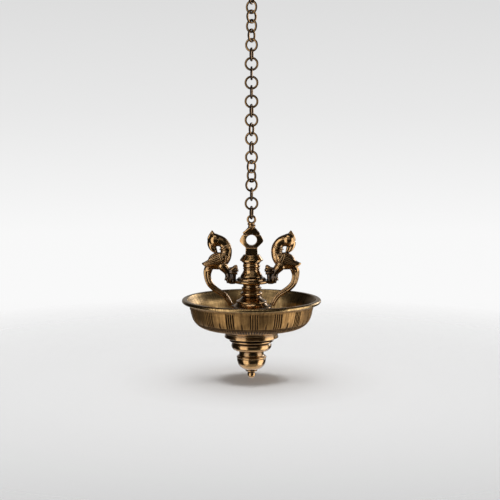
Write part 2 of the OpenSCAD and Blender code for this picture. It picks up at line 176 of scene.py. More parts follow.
def oval_ring(centre, normal, half_long, half_thick, wire, sides=10, steps=48):
    """A closed ring round a limb: an oval with one axis across the bird and one in its plane."""
    normal = np.array([normal[0], 0.0, normal[1]])
    normal /= np.linalg.norm(normal)
    across = np.array([0.0, 1.0, 0.0])
    along = np.cross(across, normal)
    a = 2 * np.pi * np.arange(steps) / steps
    b = 2 * np.pi * np.arange(sides) / sides
    out = along * np.cos(a)[:, None] * half_long + across * np.sin(a)[:, None] * half_thick
    away = out / np.linalg.norm(out, axis=1)[:, None]
    middle = np.array([centre[0], 0.0, centre[1]]) + out
    points = (
        middle[:, None]
        + away[:, None] * (wire * np.cos(b))[None, :, None]
        + normal[None, None] * (wire * np.sin(b))[None, :, None]
    )
    return points.reshape(-1, 3), grid_faces(steps, sides, closed_rows=True)


def node_part(node):
    """The points, in millimetres, and faces of a node of the frame."""
    mesh = frame["nodes"][node].data
    points = np.empty(len(mesh.vertices) * 3)
    mesh.vertices.foreach_get("co", points)
    return points.reshape(-1, 3) / MM, [list(p.vertices) for p in mesh.polygons]


# How steep the sides of a cut are
DIP_FALL = 1.6


def dip(distance, width):
    """A round-bottomed cut: 1 in its middle, a fifth at its width and soon 0 beyond."""
    return np.exp(-((distance / width) ** 2) * DIP_FALL)


def ramp(value, width):
    """Goes from 0 to 1 as a value goes from 0 to the width."""
    return np.clip(value / width, 0, 1)


def neighbour_mean(values, edges):
    """The mean of each point's neighbours' values."""
    count = np.bincount(edges.ravel(), minlength=len(values)).astype(float)
    total = np.empty_like(values)
    for axis in range(values.shape[1]):
        total[:, axis] = np.bincount(edges[:, 0], values[edges[:, 1], axis], len(values))
        total[:, axis] += np.bincount(edges[:, 1], values[edges[:, 0], axis], len(values))
    return total / np.maximum(count, 1)[:, None]


def read_mesh(obj):
    """Points in millimetres, unit normals and edges of a mesh."""
    mesh = obj.data
    points = np.empty(len(mesh.vertices) * 3)
    mesh.vertices.foreach_get("co", points)
    normals = np.empty(len(mesh.vertices) * 3)
    mesh.vertex_normals.foreach_get("vector", normals)
    edges = np.empty(len(mesh.edges) * 2, int)
    mesh.edges.foreach_get("vertices", edges)
    return points.reshape(-1, 3) / MM, normals.reshape(-1, 3), edges.reshape(-1, 2)


def write_points(obj, points):
    """Puts points in millimetres back on a mesh."""
    obj.data.vertices.foreach_set("co", (points * MM).astype(np.float32).ravel())
    obj.data.update()


# Shares of the way to the mean of its neighbours that a point goes, in and back out, in each softening pass
SOFTEN_IN = 0.6
SOFTEN_OUT = 0.558
# The same share when a mesh is flattened to find what stands above or below its surroundings
FLATTEN = 0.7


def melt(obj, voxel, passes):
    """Fuses a piece made of parts into one skin, as a casting is, and softens it."""
    change = obj.modifiers.new("melt", "REMESH")
    change.mode = "VOXEL"
    change.voxel_size = voxel * MM
    fused = bpy.data.meshes.new_from_object(obj.evaluated_get(bpy.context.evaluated_depsgraph_get()))
    obj.modifiers.clear()
    obj.data = fused
    points, _, edges = read_mesh(obj)
    for _ in range(passes):
        points += SOFTEN_IN * (neighbour_mean(points, edges) - points)
        points -= SOFTEN_OUT * (neighbour_mean(points, edges) - points)
    write_points(obj, points)
    obj.data.shade_smooth()


def mark_wear(obj, passes, depth, share=1.0):
    """Keeps on each point how far it stands over its surroundings, as 0 to 1, times a share."""
    points, normals, edges = read_mesh(obj)
    flat = points.copy()
    for _ in range(passes):
        flat += FLATTEN * (neighbour_mean(flat, edges) - flat)
    height = ((points - flat) * normals).sum(1)
    wear = (np.clip(0.5 + height / (2 * depth), 0, 1) * share).astype(np.float32)
    obj.data.attributes.new("wear", "FLOAT", "POINT").data.foreach_set("value", wear)


# Finishes


# Noise scales, in features to the metre or, for streaks, round the lamp and up it
BLOTCHES = 140.0
SPECKS = 1300.0
LATHE_LINES = 1900.0
STREAKS_ROUND = 34.0
STREAKS_UP = 75.0
# Hollows within this reach, in metres, hold patina: fully where the lower share of the sky is open, and
# not at all at the higher share
HOLLOW_REACH = 0.004
OPEN_AIR = (0.5, 0.95)
# How far the noise that sets tone, roughness and streaks spreads
NOISE_SPREAD = (0.3, 0.7)
TONE_SPREAD = (0.3, 0.75)
STREAK_SPREAD = (0.3, 0.62)
# The wear that starts to clear the patina and the wear that clears it
WORN = (0.12, 0.55)
# Shares of the rubbed brightness that blotches and streaks leave
UNEVEN = (0.7, 1.1)
STREAKED = (0.3, 0.8)
# How much rougher patina is than bare metal, and how much specks change it
PATINA_DULL = 0.2
SPECK_DULL = 0.03
# How strongly pits and lathe lines show, and the depth in metres of these and of the leather's grain
PIT_STRENGTH = 0.16
PIT_DEPTH = 0.0003
# The lacquer's roughness is a share of the metal's, and no less than the smoothest
COAT_SMOOTHEST = 0.12
COAT_SHARE = 0.7
COAT_IOR = 1.6
LEATHER_GRAIN = 900.0
LEATHER_ROUGH = 0.62
LEATHER_BUMP = 0.4
LEATHER_DARK = (0.05, 0.03, 0.018)
LEATHER_PALE = (0.14, 0.085, 0.05)
# Colours of rubbed brass, of patina and of polished brass, and the most that the last one counts for
BRIGHT = (0.64, 0.385, 0.15)
WARM = (0.47, 0.25, 0.085)
PATINA = (0.026, 0.012, 0.005)
PALE = (0.78, 0.56, 0.27)
PALE_SHARE = 0.5
# Wear of the bowl's outside where nothing is cut, and of its inside
UNPOLISHED = 0.6
INSIDE_WEAR = 0.8


def add_node(tree, kind, inputs=None, **settings):
    """A shader node with its settings, and with values or links on its inputs."""
    made = tree.nodes.new(kind)
    for name, value in settings.items():
        setattr(made, name, value)
    for name, value in (inputs or {}).items():
        if isinstance(value, bpy.types.NodeSocket):
            tree.links.new(value, made.inputs[name])
        else:
            made.inputs[name].default_value = value
    return made


def new_material(name):
    """A material with an empty node tree, and that tree."""
    material = bpy.data.materials.new(name)
    material.use_nodes = True
    material.node_tree.nodes.clear()
    return material, material.node_tree


def math_node(tree, operation, a, b, clamp=False):
    """The output of a math node on two values or links."""
    made = add_node(tree, "ShaderNodeMath", operation=operation, use_clamp=clamp)
    for socket, value in zip(made.inputs, (a, b)):
        if isinstance(value, bpy.types.NodeSocket):
            tree.links.new(value, socket)
        else:
            socket.default_value = value
    return made.outputs[0]


def map_range(tree, value, low, high, to_low=0.0, to_high=1.0):
    """A value brought from one range to another, and held inside it."""
    return add_node(
        tree,
        "ShaderNodeMapRange",
        {"Value": value, "From Min": low, "From Max": high, "To Min": to_low, "To Max": to_high},
    ).outputs[0]


def noise(tree, place, scale, detail, roughness):
    """Cloudy noise at a place, from 0 to 1."""
    return add_node(
        tree,
        "ShaderNodeTexNoise",
        {"Vector": place, "Scale": scale, "Detail": detail, "Roughness": roughness},
    ).outputs["Fac"]


def mix_colour(tree, share, a, b):
    """A mix of two colours: the first where the share is 0, the second where it is 1."""
    made = add_node(tree, "ShaderNodeMix", data_type="RGBA")
    for name, value in (("Factor", share), ("A", a), ("B", b)):
        sockets = [s for s in made.inputs if s.name == name and s.type in ("VALUE", "RGBA")]
        socket = [s for s in sockets if s.enabled][0]
        if isinstance(value, bpy.types.NodeSocket):
            tree.links.new(value, socket)
        else:
            socket.default_value = value if name == "Factor" else (*value, 1.0)
    return [s for s in made.outputs if s.type == "RGBA"][0]


def vector_node(tree, operation, inputs, output="Vector"):
    """The output of a vector math node."""
    return add_node(tree, "ShaderNodeVectorMath", inputs, operation=operation).outputs[output]


def round_place(tree, place):
    """Places round the lamp's axis: the distance from it, the direction from it and the height."""
    up = add_node(tree, "ShaderNodeSeparateXYZ", {"Vector": place}).outputs["Z"]
    flat = vector_node(tree, "MULTIPLY", {0: place, 1: (1.0, 1.0, 0.0)})
    radius = vector_node(tree, "LENGTH", {0: flat}, "Value")
    way = vector_node(tree, "NORMALIZE", {0: flat})
    return radius, way, up


def lathe_lines(tree, place):
    """Fine rings left by the lathe."""
    radius, _, up = round_place(tree, place)
    across = add_node(tree, "ShaderNodeCombineXYZ", {"X": radius, "Y": up}).outputs[0]
    return noise(tree, across, LATHE_LINES, detail=2.0, roughness=0.7)


def rubbed_streaks(tree, place):
    """Upright streaks left by polishing a wall by hand."""
    _, way, up = round_place(tree, place)
    turned = vector_node(tree, "SCALE", {0: way, "Scale": STREAKS_ROUND})
    stretched = math_node(tree, "MULTIPLY", up, STREAKS_UP)
    height = add_node(tree, "ShaderNodeCombineXYZ", {"Z": stretched}).outputs[0]
    spread = vector_node(tree, "ADD", {0: turned, 1: height})
    return noise(tree, spread, 1.0, detail=3.0, roughness=0.6)


def antique_brass(
    name, rough, worn=False, turned=False, streaked=False, pits=0.3, polished=0.0, coat=0.7
):
    """Lacquered brass with dark patina in its hollows, rubbed bright on its edges.

    Worn brass reads the wear on its points. Polished brass, which has to be worn brass too, is paler
    where the wear is over UNPOLISHED, and smoother by up to the number given.
    """
    material, tree = new_material(name)
    place = add_node(tree, "ShaderNodeTexCoord").outputs["Object"]
    blotches = noise(tree, place, BLOTCHES, detail=5.0, roughness=0.62)
    specks = noise(tree, place, SPECKS, detail=3.0, roughness=0.6)
    reach = {"Distance": HOLLOW_REACH}
    open_air = add_node(tree, "ShaderNodeAmbientOcclusion", reach, samples=8).outputs["AO"]
    rubbed = map_range(tree, open_air, *OPEN_AIR)
    if worn:
        wear = add_node(tree, "ShaderNodeAttribute", attribute_name="wear").outputs["Fac"]
        rubbed = math_node(tree, "MULTIPLY", rubbed, map_range(tree, wear, *WORN))
    uneven = map_range(tree, blotches, *NOISE_SPREAD, *UNEVEN)
    rubbed = math_node(tree, "MULTIPLY", rubbed, uneven, clamp=True)
    if streaked:
        streaks = map_range(tree, rubbed_streaks(tree, place), *STREAK_SPREAD, *STREAKED)
        rubbed = math_node(tree, "MULTIPLY", rubbed, streaks)
    tone = mix_colour(tree, map_range(tree, specks, *TONE_SPREAD), WARM, BRIGHT)
    if polished:
        pale = map_range(tree, wear, UNPOLISHED, INSIDE_WEAR, 0.0, PALE_SHARE)
        tone = mix_colour(tree, pale, tone, PALE)
    colour = mix_colour(tree, rubbed, PATINA, tone)
    gloss = map_range(tree, rubbed, 0.0, 1.0, rough + PATINA_DULL, rough)
    speckled = map_range(tree, specks, *NOISE_SPREAD, -SPECK_DULL, SPECK_DULL)
    gloss = math_node(tree, "ADD", gloss, speckled)
    if polished:
        smoother = map_range(tree, wear, UNPOLISHED, 1.0, 0.0, polished)
        gloss = math_node(tree, "SUBTRACT", gloss, smoother)
    height = math_node(tree, "MULTIPLY", specks, pits)
    if turned:
        height = math_node(tree, "ADD", height, lathe_lines(tree, place))
    relief = {"Strength": PIT_STRENGTH, "Distance": PIT_DEPTH, "Height": height}
    bump = add_node(tree, "ShaderNodeBump", relief)
    metal = {"Base Color": colour, "Metallic": 1.0, "Roughness": gloss, "Normal": bump.outputs[0]}
    coat_rough = max(COAT_SMOOTHEST, rough * COAT_SHARE)
    lacquer = {"Coat Weight": coat, "Coat Roughness": coat_rough, "Coat IOR": COAT_IOR}
    shader = add_node(tree, "ShaderNodeBsdfPrincipled", {**metal, **lacquer})
    add_node(tree, "ShaderNodeOutputMaterial", {"Surface": shader.outputs[0]})
    return material


def oiled_leather(name):
    """Dark leather with a fine grain."""
    material, tree = new_material(name)
    place = add_node(tree, "ShaderNodeTexCoord").outputs["Object"]
    grain = noise(tree, place, LEATHER_GRAIN, detail=4.0, roughness=0.6)
    colour = mix_colour(tree, grain, LEATHER_DARK, LEATHER_PALE)
    relief = {"Strength": LEATHER_BUMP, "Distance": PIT_DEPTH, "Height": grain}
    bump = add_node(tree, "ShaderNodeBump", relief)
    shader = add_node(
        tree,
        "ShaderNodeBsdfPrincipled",
        {"Base Color": colour, "Roughness": LEATHER_ROUGH, "Normal": bump.outputs[0]},
    )
    add_node(tree, "ShaderNodeOutputMaterial", {"Surface": shader.outputs[0]})
    return material


CAST = antique_brass("cast_brass", 0.16, worn=True, pits=0.15)
CHAIN = antique_brass("chain_brass", 0.15, worn=True, coat=0.3)
TURNED = antique_brass("turned_brass", 0.15, turned=True)
SATIN = antique_brass(
    "bowl_brass", 0.37, worn=True, turned=True, streaked=True, pits=0.4, polished=0.22, coat=0.0
)
ROD = antique_brass("rod_brass", 0.34)
LEATHER = oiled_leather("leather")

# Turned pieces, rod, pins and washer keep their own meshes and only get a finish
FINISHES = {"turned_brass": TURNED, "rod_brass": ROD, "leather": LEATHER}
for subpart in frame["record"]["subparts"]:
    if subpart["material_slot"] in FINISHES:
        finish = FINISHES[subpart["material_slot"]]
        frame["nodes"][subpart["node"]].material_slots[0].material = finish


# Chain


# Radius of a ring's wire, and steps round the wire and round the ring
LINK_WIRE_R = 1.0
LINK_SIDES = 14
LINK_STEPS = 60
# The soldered seam: where it lies, half its run in radians, and its swelling and cut with their half runs
SEAM_AT = math.radians(12)
SEAM_RUN = 0.16
SEAM_STEPS = 17
SEAM_SWELL, SWELL_RUN = 0.05, 0.08
SEAM_CUT, CUT_RUN = 0.09, 0.018
# Wear on the flanks of a ring. Its outer and inner edges get none and stay dark: painted shade that draws a
# dark outline along the wire
FLANK_WEAR_AND_EDGE_SHADE = 0.42


def chain_ring(name, lean):
    """A ring of bent wire with its soldered seam, standing where its node is."""
    low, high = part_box(name)
    middle = np.array((low + high) / 2) / MM
    outer = (high.z - low.z) / 2 / MM
    mean = outer - LINK_WIRE_R
    axis = [j["axis"] for j in frame["joints"] if j["parent"] == name][0]
    turn = math.atan2(axis[1], axis[0])
    near = np.linspace(-SEAM_RUN, SEAM_RUN, SEAM_STEPS)
    rest = np.linspace(SEAM_RUN, 2 * math.pi - SEAM_RUN, LINK_STEPS)[1:-1]
    angle = np.concatenate([near, rest])
    swelling = SEAM_SWELL * np.exp(-((near / SWELL_RUN) ** 2))
    cut = SEAM_CUT * np.exp(-((near / CUT_RUN) ** 2))
    thick = LINK_WIRE_R * np.concatenate([1 + swelling - cut, np.ones(len(rest))])
    place = angle + lean
    side = np.array([math.cos(turn), math.sin(turn), 0.0])
    square = np.array([-math.sin(turn), math.cos(turn), 0.0])
    up = np.array([0.0, 0.0, 1.0])
    b = 2 * np.pi * np.arange(LINK_SIDES) / LINK_SIDES
    out = side * np.cos(place)[:, None] + up * np.sin(place)[:, None]
    points = (
        middle
        + out[:, None] * (mean + thick[:, None] * np.cos(b))[..., None]
        + square[None, None] * (thick[:, None] * np.sin(b))[..., None]
    )
    ring = new_object(name + "_ring", points.reshape(-1, 3), grid_faces(len(angle), LINK_SIDES, True))
    # Painted shade: the wire's outer and inner edges get no wear and stay dark, its flanks get the most
    wear = np.tile(FLANK_WEAR_AND_EDGE_SHADE * np.sin(b) ** 2, len(angle)).astype(np.float32)
    ring.data.attributes.new("wear", "FLOAT", "POINT").data.foreach_set("value", wear)
    return ring


links = sorted(n for n in frame["nodes"] if n.startswith("link_"))
for index, link in enumerate(links):
    lean = SEAM_AT if index % 2 else math.pi - SEAM_AT
    finish_piece(chain_ring(link, lean), CHAIN, link, "chain_brass", link)


# Cast eyes


# The strip wrapped round an eye's neck: places from the eye's middle, and its radius
WRAP = [
    (-7.6, -2.4, 6.4), (-5.6, -3.1, 7.9), (-3.4, -3.5, 9.6), (-0.9, -3.6, 11.2), (1.9, -2.9, 12.4),
    (3.1, -0.4, 13.1), (1.9, 2.3, 13.5), (-0.9, 2.9, 13.9), (-2.9, 1.0, 14.3), (-2.6, -1.5, 14.7),
    (-0.6, -2.9, 15.1), (1.6, -2.4, 15.6), (2.6, -0.6, 16.1),
]
WRAP_WIRE = 0.85
# The foot that the lamp's eye stands on: drops below the eye's middle, half widths and half depths
PLINTH = [(6.4, 5.1, 3.0), (7.2, 5.3, 4.7), (13.3, 5.6, 4.9)]
# The notch under the eaves, above the eye's middle
EAVE_NOTCH = 4.9
NOTCH_HALF = 0.9
NOTCH_NARROWS = 0.1
NOTCH_THINS = 0.16
EYE_VOXEL = 0.3
EYE_HALF_WIDTH = 10.7
EYE_CROWN = 0.6
EYE_SOFTENING = 4
# Passes that flatten a casting to find its wear, and the height that counts as fully worn
WEAR_PASSES = 24
EYE_WEAR = 0.35


def cast_eye(node, body, level, upright):
    """A cast eye with the strip of metal that is wrapped round its neck."""
    way = 1 if upright else -1
    wrap = np.array(WRAP) * [way, 1, way] + [0, 0, level]
    parts = [node_part(node), tube(wrap, [WRAP_WIRE] * len(WRAP))]
    if upright:
        corners = [(-1, -1), (1, -1), (1, 1), (-1, 1)]
        points = [(a * wide, b * deep, level - drop) for drop, wide, deep in PLINTH for a, b in corners]
        last = 4 * len(PLINTH) - 4
        ends = [[3, 2, 1, 0], [last, last + 1, last + 2, last + 3]]
        parts.append((points, grid_faces(len(PLINTH), 4) + ends))
    eye = new_object(node + "_casting", *join_parts(parts))
    melt(eye, EYE_VOXEL, EYE_SOFTENING)
    points, _, _ = read_mesh(eye)
    above = (points[:, 2] - level) * way
    crown = EYE_CROWN * ramp(above + PLINTH[1][0], PLINTH[1][0] - PLINTH[0][0])
    points[:, 1] *= 1 - crown * np.clip(np.abs(points[:, 0]) / EYE_HALF_WIDTH, 0, 1) ** 2
    notch = dip(above - EAVE_NOTCH, NOTCH_HALF)
    points[:, 0] *= 1 - NOTCH_NARROWS * notch * (np.abs(points[:, 0]) > EAVE_NOTCH)
    points[:, 1] *= 1 - NOTCH_THINS * notch
    write_points(eye, points)
    mark_wear(eye, WEAR_PASSES, EYE_WEAR)
    finish_piece(eye, CAST, body, "cast_brass", node)


cast_eye("suspension_eye", LAMP, EYE_Z, True)
cast_eye("hanging_eye", "hanging_eye", 0.0, False)


# Bowl


# Steps round the bowl, up its wall and in the hollow under its lip
BOWL_SIDES = 1440
WALL_STEPS = 56
HOLLOW_STEPS = 16
# Sizes of the bowl that its box does not give
LIP = 3.6
LIP_WIDTH = 4.8
LIP_OVERHANG = 7.6
LIP_DROP = 9.8
BOWL_HEIGHT = 25.8
CREASE_R = 44.5
WALL = 2.6
BORE_R = 2.6
# The inside floor bends at this radius, this far over the crease
FLOOR_BEND = (36.0, 1.2)
# The underside bends this far outside the seat and over it, and this far inside the crease and under it
SEAT_BEND = (3.0, 0.5)
CREASE_BEND = (1.5, 0.35)

# The engraving. Heights are above the crease where the wall starts.
GROUPS = 16
FIRST_GROUP = math.radians(2.3)
GROOVES = 4
GROOVE_STEP = 2.1
GROOVE_WIDTH = 0.62
GROOVE_DEPTH = 0.6
GROOVE_LOW = 5.6
GROOVE_TOP = 20.3
GROOVE_START = 0.5
GROOVE_END = 1.5
NOTCH_TOP = 11.5
NOTCH_END = 2.0
NOTCH_DEPTH = 0.6
NOTCH_TIP = 0.35
NOTCH_SPREAD = 0.45
BAND_EDGE = 0.25
BORDER_LINES = (5.1, 3.65)
BORDER_WIDTH = 0.45
BORDER_DEPTH = 0.5
TICKS = 288
TICK_BAND = (3.9, 4.9)
BEADS = 128
BEAD_BAND = (0.3, 3.4)
BEAD_DEPTH = 0.9


def curve(a, b, c, d, steps):
    """Points on a cubic curve with four control points."""
    t = np.linspace(0, 1, steps + 1)[:, None]
    s = 1 - t
    a, b, c, d = (np.array(p, float) for p in (a, b, c, d))
    return s**3 * a + 3 * s * s * t * b + 3 * s * t * t * c + t**3 * d


def arc(centre, r, start, end, steps):
    """Points on a round arc between two angles in degrees."""
    a = np.radians(np.linspace(start, end, steps + 1))
    return np.array(centre) + r * np.stack([np.cos(a), np.sin(a)], 1)


def cove(a, b, steps):
    """A hollow moulding between two points."""
    a, b = np.array(a, float), np.array(b, float)
    corner = np.array([min(a[0], b[0]), b[1] if a[0] < b[0] else a[1]])
    return curve(a, (a + 2 * corner) / 3, (b + 2 * corner) / 3, b, steps)


def within(up, band):
    """1 inside a band of heights, falling to 0 at its edges."""
    return ramp(up - band[0], BAND_EDGE) * ramp(band[1] - up, BAND_EDGE)


def engraving(angle, up, radius):
    """Depth of the engraving, from the angle round the bowl and the height above the crease."""
    pitch = 2 * math.pi / GROUPS
    from_group = ((angle - FIRST_GROUP + pitch / 2) % pitch - pitch / 2) * radius
    from_notch = ((angle - FIRST_GROUP) % pitch - pitch / 2) * radius
    groove_run = ramp(up - GROOVE_LOW, GROOVE_START) * ramp(GROOVE_TOP - up, GROOVE_END)
    depth = np.zeros_like(from_group)
    for k in range(GROOVES):
        middle = (k - (GROOVES - 1) / 2) * GROOVE_STEP
        depth = np.maximum(depth, GROOVE_DEPTH * groove_run * dip(from_group - middle, GROOVE_WIDTH))
    taper = ramp(NOTCH_TOP - up, NOTCH_TOP - GROOVE_LOW)
    notch_run = ramp(up - GROOVE_LOW, GROOVE_START) * ramp(NOTCH_TOP - up, NOTCH_END)
    notch = NOTCH_DEPTH * notch_run * dip(from_notch, NOTCH_TIP + NOTCH_SPREAD * taper)
    depth = np.maximum(depth, notch)
    for line in BORDER_LINES:
        depth = np.maximum(depth, BORDER_DEPTH * dip(up - line, BORDER_WIDTH))
    ticks = np.cos(angle * TICKS) * 0.5 + 0.5
    depth = np.maximum(depth, BORDER_DEPTH * ticks**2 * within(up, TICK_BAND))
    beads = np.abs(np.sin(angle * BEADS / 2))
    return np.maximum(depth, BEAD_DEPTH * (1 - beads) * within(up, BEAD_BAND))


def bowl_outline():
    """The bowl's outline, from the bore round the outside and back over the inside.

    Also gives the runs of it that are the engraved wall and the lip.
    """
    wall_r = RIM_R - LIP_OVERHANG
    inner_r = wall_r - WALL
    belly = (BOWL_HEIGHT - LIP_DROP) / 2
    nose = LIP / 2
    bottom = BOWL_BOTTOM - RIM_Z
    wall = curve(
        (CREASE_R, -BOWL_HEIGHT), (CREASE_R + belly, -BOWL_HEIGHT + WALL),
        (wall_r - belly / 6, -LIP_DROP - belly), (wall_r, -LIP_DROP), WALL_STEPS,
    )
    under = np.array([
        (BORE_R, bottom), (SEAT_R, bottom),
        (SEAT_R + SEAT_BEND[0], bottom + SEAT_BEND[1]),
        (CREASE_R - CREASE_BEND[0], -BOWL_HEIGHT - CREASE_BEND[1]),
    ])
    hollow = cove((wall_r + nose / 4, -LIP_DROP + nose / 2), (RIM_R - nose, -LIP), HOLLOW_STEPS)
    lip = np.concatenate([
        arc((RIM_R - nose, -nose), nose, -80, 80, 9),
        arc((RIM_R - LIP_WIDTH + nose / 2, -nose / 2), nose / 2, 90, 150, 4),
    ])
    inside = np.concatenate([
        curve((RIM_R - LIP_WIDTH - nose / 4, -nose), (inner_r + nose, -LIP_DROP * 0.6),
              (inner_r, -LIP_DROP * 0.8), (inner_r - belly / 12, -LIP_DROP - belly / 2), 10),
        curve((inner_r - belly / 8, -LIP_DROP - belly * 0.7),
              (inner_r - belly / 4, -BOWL_HEIGHT + WALL * 2),
              (CREASE_R, -BOWL_HEIGHT + WALL), (CREASE_R - WALL, -BOWL_HEIGHT + WALL * 0.9), 9),
        [(FLOOR_BEND[0], -BOWL_HEIGHT + FLOOR_BEND[1]), (SEAT_R, bottom + WALL), (BORE_R, bottom + WALL)],
    ])
    outline = np.concatenate([under, wall, hollow, lip, inside])
    start, end = len(under), len(under) + len(wall) + len(hollow)
    return outline, slice(start, end), slice(end, end + len(lip))


def make_bowl():
    """The bowl: its outline turned round, with the engraving cut into its wall."""
    outline, wall, lip = bowl_outline()
    slope = np.gradient(outline, axis=0)
    out = np.stack([slope[:, 1], -slope[:, 0]], 1)
    out /= np.linalg.norm(out, axis=1)[:, None]
    # The engraving is counted from the bowl's front
    turn = 2 * np.pi * np.arange(BOWL_SIDES) / BOWL_SIDES
    angle = turn - math.pi / 2
    cut = np.zeros((len(outline), BOWL_SIDES))
    cut[wall] = engraving(turn[None], outline[wall, 1:] + BOWL_HEIGHT, outline[wall, :1])
    radius = outline[:, :1] - out[:, :1] * cut
    height = outline[:, 1:] - out[:, 1:] * cut + RIM_Z
    points = np.stack([radius * np.cos(angle), radius * np.sin(angle), height], -1)
    bowl = new_object("bowl_engraved", points.reshape(-1, 3), grid_faces(len(outline), BOWL_SIDES, True))
    wear = np.clip(UNPOLISHED - cut / GROOVE_DEPTH, 0, 1)
    wear[lip] = 1.0
    wear[lip.stop:] = INSIDE_WEAR
    values = wear.astype(np.float32).ravel()
    bowl.data.attributes.new("wear", "FLOAT", "POINT").data.foreach_set("value", values)
    finish_piece(bowl, SATIN, LAMP, "bowl_brass", "bowl")


make_bowl()


# Parrots. Places are (outward, up) from the flange's edge and from the pin.


PARROT_VOXEL = 0.27
PARROT_SOFTENING = 7
PARROT_WEAR = 0.3
# Rings round the neck and the tail: middle, direction, half sizes in and across the bird's plane, wire
RINGS = [
    ((7.3, 30.4), (0.51, 0.86), 5.1, 4.5, 0.5),
    ((8.1, 31.8), (0.51, 0.86), 5.1, 4.5, 0.62),
    ((21.9, 10.6), (0.35, 0.94), 3.9, 3.4, 0.5),
]
CREST = [(19.6, 46.6), (20.4, 44.6), (21.8, 42), (23, 39.4), (23.6, 37)]
CREST_HALF = [(0.3, 0.3), (0.8, 1.2), (1.0, 1.9), (0.9, 1.8), (0.3, 0.5)]
CHEEK = [(18.6, 34), (17.4, 31), (16.2, 28), (15.2, 26)]
CHEEK_HALF = [2.2, 1.9, 1.4, 0.7]
# Toes over the flange and under it: where they start and end, how far out to the side, and how thick
TOE_ROOT = np.array([5.4, 8.8])
UPPER_TOES = [(-3.4, 13.6), (-4.2, 11.0), (-3.2, 8.2)]
UPPER_TOE_SIDE = [3.2, 5.2, 5.0, 3.6]
UPPER_TOE_HALF = [1.0, 1.1, 1.0, 0.4]
KNUCKLE_SHARE = 0.6
CLAW_DROP = 1.6
HEEL = (4.4, 5.4)
LOWER_TOES = [(8.2, 1.6), (6.0, -1.2), (2.8, -1.8)]
LOWER_TOE_SIDE = [4.6, 5.8, 4.8]
LOWER_TOE_HALF = [1.0, 1.1, 0.5]
LOWER_TOE_ARCH = 2.6
# The claws lie inside this place, over this level, and are made darker than the rest of the bird
CLAW_EDGE = (10.5, 14.0)
CLAW_FADE = 3.0
CLAW_LOW = -4.0
CLAW_LOW_FADE = 2.0
CLAW_DARK = 0.7
NECK = [(11.4, 14.5), (8, 21), (6.8, 26.5), (7.2, 31.5), (10.8, 36.2), (17.2, 37.8)]
TAIL = [(20.2, 16), (23.4, 10.4), (23.9, 4.4), (21.8, -2.2), (16.4, -7.6), (8, -13.2), (2.4, -22.4)]
TAIL_HALF = [3.6, 4, 3.3, 3, 2.8, 2.4, 2.2]
WING_ROOT = (8.5, 24)
WING_TIP = (28.8, 16.4)
WING_HALF = [1.2, 4.8, 5, 3.4, 0.6]
WING_AT = [0.0, 0.16, 0.4, 0.7, 1.0]

# Grooves along the tail: where they start and end, their depths, and places and widths across the tail
TAIL_CUT_FROM = 6.5
TAIL_CUT_START = 2.0
TAIL_CUT_TOP = 11.0
TAIL_EDGE = 1.1
MIDDLE_GROOVE = (0.6, 0.05, 0.22)
EDGE_GROOVES = (0.35, 0.62, 0.14)
# Feathers of the wing: quills along it, and scalloped rows across its root
WING_SIDE = 3.0
WING_EDGE = 1.05
WING_FROM = 0.02
QUILLS_FROM, QUILLS_START = 0.2, 0.1
QUILLS = (-0.72, -0.36, 0.0, 0.36, 0.72)
QUILL_DEPTH, QUILL_WIDTH = 0.45, 0.34
FEATHER_ROWS = (0.08, 0.18)
FEATHER_WIDE = 1.7
ROW_WAVE = 0.045
ROW_DEPTH, ROW_WIDTH = 0.42, 0.4
# Scales of the neck: their run along it, how far round they go, their size and depth
SCALES = (2.0, 14.5)
SCALES_REACH = (11.5, 14.0)
SCALES_SIDE = 3.6
NECK_R = 5.0
SCALE_LONG, SCALE_WIDE = 1.9, 2.2
SCALE_DEPTH, SCALE_CUT = 0.16, 0.3
# Where in its row a scale's edge lies at its sides, and how much further on in its middle
SCALE_EDGE, SCALE_BULGE = 0.2, 0.6


def tube_beside(places, sides, halves):
    """A tube through places in the bird's plane, each moved out to the side."""
    return tube([(u, y, z) for (u, z), y in zip(places, sides)], halves)


def parrot_parts():
    """What is cast on the plain parrot: rings, crest, cheek and toes."""
    parts = [oval_ring(*ring) for ring in RINGS]
    parts.append(tube_beside(CREST, [0.0] * len(CREST), CREST_HALF))
    parts.append(tube_beside(CHEEK, [0.0] * len(CHEEK), CHEEK_HALF))
    for side in (-1, 1):
        for tip_u, tip_z in UPPER_TOES:
            knuckle = np.array([tip_u * KNUCKLE_SHARE, tip_z])
            toe = [TOE_ROOT, (TOE_ROOT + knuckle) / 2, knuckle, (tip_u, tip_z - CLAW_DROP)]
            parts.append(tube_beside(toe, [side * y for y in UPPER_TOE_SIDE], UPPER_TOE_HALF))
        for tip_u, tip_z in LOWER_TOES:
            toe = [HEEL, ((HEEL[0] + tip_u) / 2, tip_z / 2 + LOWER_TOE_ARCH), (tip_u, tip_z)]
            parts.append(tube_beside(toe, [side * y for y in LOWER_TOE_SIDE], LOWER_TOE_HALF))
    return parts


def along_line(points, line, steps=10):
    """For points in the bird's plane: how far along a line and off to one side, and the line's length."""
    run = smooth_line(line, steps)
    way = np.gradient(run, axis=0)
    way /= np.linalg.norm(way, axis=1)[:, None]
    length = np.concatenate([[0], np.cumsum(np.linalg.norm(np.diff(run, axis=0), axis=1))])
    gap = ((points[:, None] - run[None]) ** 2).sum(-1)
    near = gap.argmin(1)
    offset = points - run[near]
    lengthwise = length[near] + (offset * way[near]).sum(1)
    sideways = offset[:, 0] * -way[near, 1] + offset[:, 1] * way[near, 0]
    return lengthwise, sideways, length[-1]


